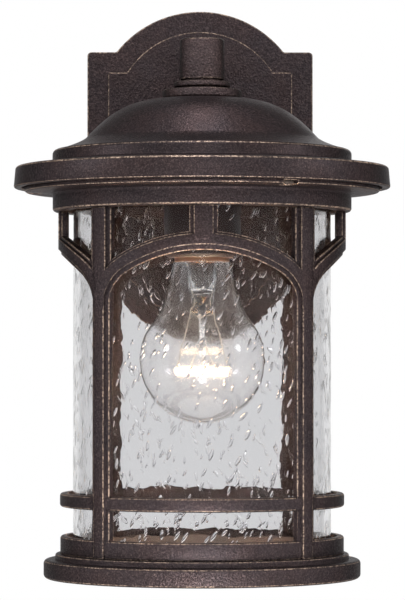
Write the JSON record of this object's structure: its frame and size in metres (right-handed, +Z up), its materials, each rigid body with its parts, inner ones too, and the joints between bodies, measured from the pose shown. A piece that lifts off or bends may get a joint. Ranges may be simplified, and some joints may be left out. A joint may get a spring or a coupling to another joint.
{
  "type": "outdoor wall lantern",
  "caption": "Cast outdoor wall lantern: arched back plate, short arm, domed roof and an arcaded cage round a seeded glass cylinder with one screw-in bulb.",
  "frame": {"origin": "on the wall plane, in the middle of the back plate", "axes": "+Z up, +Y into the wall, so the lantern's front faces -Y"},
  "size_m": [0.1786, 0.2033, 0.2799],
  "materials": {
    "foam": "closed-cell foam",
    "bronze": "oil-rubbed bronze powder coat, finely pebbled, on cast aluminium",
    "zinc_steel": "zinc-plated steel",
    "green_screw": "green dyed steel",
    "brass_tube": "plain brass",
    "phenolic": "dark red-brown moulded phenolic",
    "copper_shell": "rolled copper-coloured shell",
    "black_wire": "black insulation",
    "white_wire": "white insulation",
    "bare_copper": "bare copper",
    "connector_plastic": "moulded orange plastic",
    "dark_screw": "dark painted steel",
    "seeded_glass": "clear glass with seeds",
    "rubber_channel": "black silicone rubber",
    "bulb_clear_glass": "clear thin glass",
    "stem_glass": "clear lead glass",
    "nickel_wire": "nickel wire",
    "tungsten": "coiled tungsten, lit",
    "cap_metal": "rolled brass cap",
    "black_glass": "black insulating glass",
    "solder": "soft solder"
  },
  "bodies": {
    "root": {"wall_gasket": "foam", "backplate": "bronze", "mounting_plate": "zinc_steel", "mounting_studs": "zinc_steel", "cap_nuts": "bronze", "ground_screw": "green_screw", "arm": "bronze", "arm_lock_washer": "zinc_steel", "arm_nut": "zinc_steel", "hub_nipple": "brass_tube", "neck_ring": "bronze", "neck_collar": "bronze", "roof": "bronze", "roof_washer": "zinc_steel", "roof_nut": "zinc_steel", "socket_bracket": "zinc_steel", "bracket_nut": "zinc_steel", "bracket_screws": "zinc_steel", "socket_body": "phenolic", "socket_shell": "copper_shell", "socket_tongue": "brass_tube", "terminal_screws": "brass_tube", "lead_live": "black_wire", "lead_neutral": "white_wire", "ground_lead": "bare_copper", "wire_connectors": "connector_plastic", "cage_top_ring": "bronze", "cage_frame": "bronze", "foot_ring": "bronze", "cage_screws": "dark_screw", "top_join_screws": "zinc_steel", "foot_join_screws": "zinc_steel", "glass_cylinder": "seeded_glass", "glass_gasket_top": "rubber_channel", "glass_gasket_bottom": "rubber_channel", "glass_clips": "zinc_steel", "clip_screws": "zinc_steel"},
    "lamp_cap": {"bulb_cap": "cap_metal", "bulb_insulator": "black_glass", "bulb_contact": "solder"},
    "lamp": {"bulb_glass": "bulb_clear_glass", "bulb_stem": "stem_glass", "bulb_supports": "nickel_wire", "bulb_filament": "tungsten"}
  },
  "joints": [
    {"name": "lamp_draw", "type": "slide", "parent": "root", "child": "lamp_cap", "axis": [0, 0, -1], "range_m": [0, 0.02]},
    {"name": "lamp_turn", "type": "hinge", "parent": "lamp_cap", "child": "lamp", "pos_m": [0, -0.114, -0.0938], "axis": [0, 0, -1], "range_deg": [0, 1980]}
  ],
  "couplings": [
    {"joint": "lamp_draw", "follows": "lamp_turn", "m_per_rad": 0.00057757}
  ]
}
